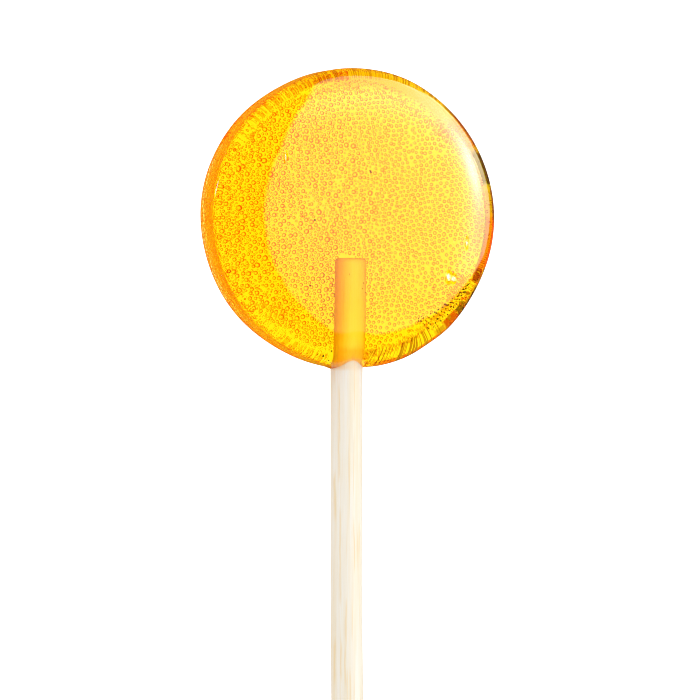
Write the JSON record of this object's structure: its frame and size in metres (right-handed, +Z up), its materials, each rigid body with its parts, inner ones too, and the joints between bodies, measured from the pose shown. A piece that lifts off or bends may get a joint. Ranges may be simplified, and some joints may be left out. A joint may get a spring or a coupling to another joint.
{
  "type": "honey lollipop",
  "caption": "Clear round honey-coloured boiled sweet with a flat back and a wide rounded face edge, set on a slim bamboo stick and lying on its back.",
  "frame": {"origin": "middle of the sweet's flat back, on the surface it lies on", "axes": "+Z up out of the shown face, +Y away from the stick, towards the top of the sweet; the stick points to -Y"},
  "size_m": [0.0447, 0.1298, 0.008],
  "materials": {
    "honey_candy": "clear, glossy boiled sugar, deep yellow in the face and orange along the edge, full of tiny air bubbles",
    "bamboo": "pale cream bamboo with fine long fibres, satin"
  },
  "bodies": {
    "root": {"candy": "honey_candy", "stick": "bamboo"}
  },
  "joints": []
}
